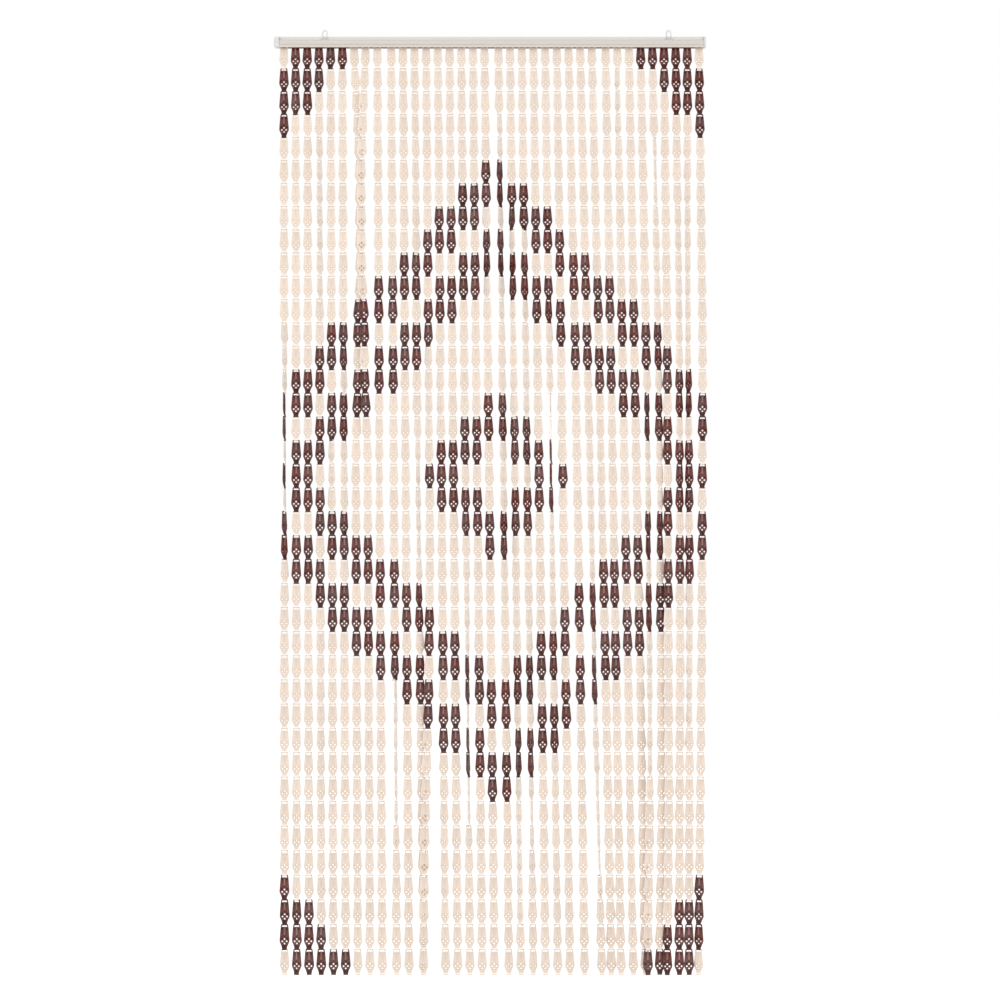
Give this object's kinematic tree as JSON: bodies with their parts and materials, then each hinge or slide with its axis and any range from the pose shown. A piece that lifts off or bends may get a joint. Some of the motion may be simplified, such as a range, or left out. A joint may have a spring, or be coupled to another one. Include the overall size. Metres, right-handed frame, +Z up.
{
  "type": "link fly screen curtain with hanging rail",
  "caption": "Door screen of hanging chains of flat moulded plastic links, cream with a dark brown stepped lozenge pattern, on a light channel rail with hanging eyes.",
  "frame": {"origin": "on the rail's flat back face, which lies against the wall, midway along it and half way up the rail's front", "axes": "+Z up, +Y out of the rail's back into the wall, +X to the right seen from the front"},
  "size_m": [0.905, 0.0231, 1.9427],
  "materials": {
    "rail": "light beige lacquered aluminium channel, satin",
    "end_caps": "moulded, light grey",
    "hanging_loops": "clear moulded plastic",
    "cream_links": "moulded, satin cream",
    "brown_links": "moulded, glossy dark reddish brown"
  },
  "bodies": {
    "root": {"rail": "rail", "end_cap_left": "end_caps", "end_cap_right": "end_caps", "hanging_loop_left": "hanging_loops", "hanging_loop_right": "hanging_loops", "chains_1": "cream_links", "chains_2": "cream_links", "chains_3": "cream_links", "chains_4": "cream_links"}
  },
  "joints": []
}
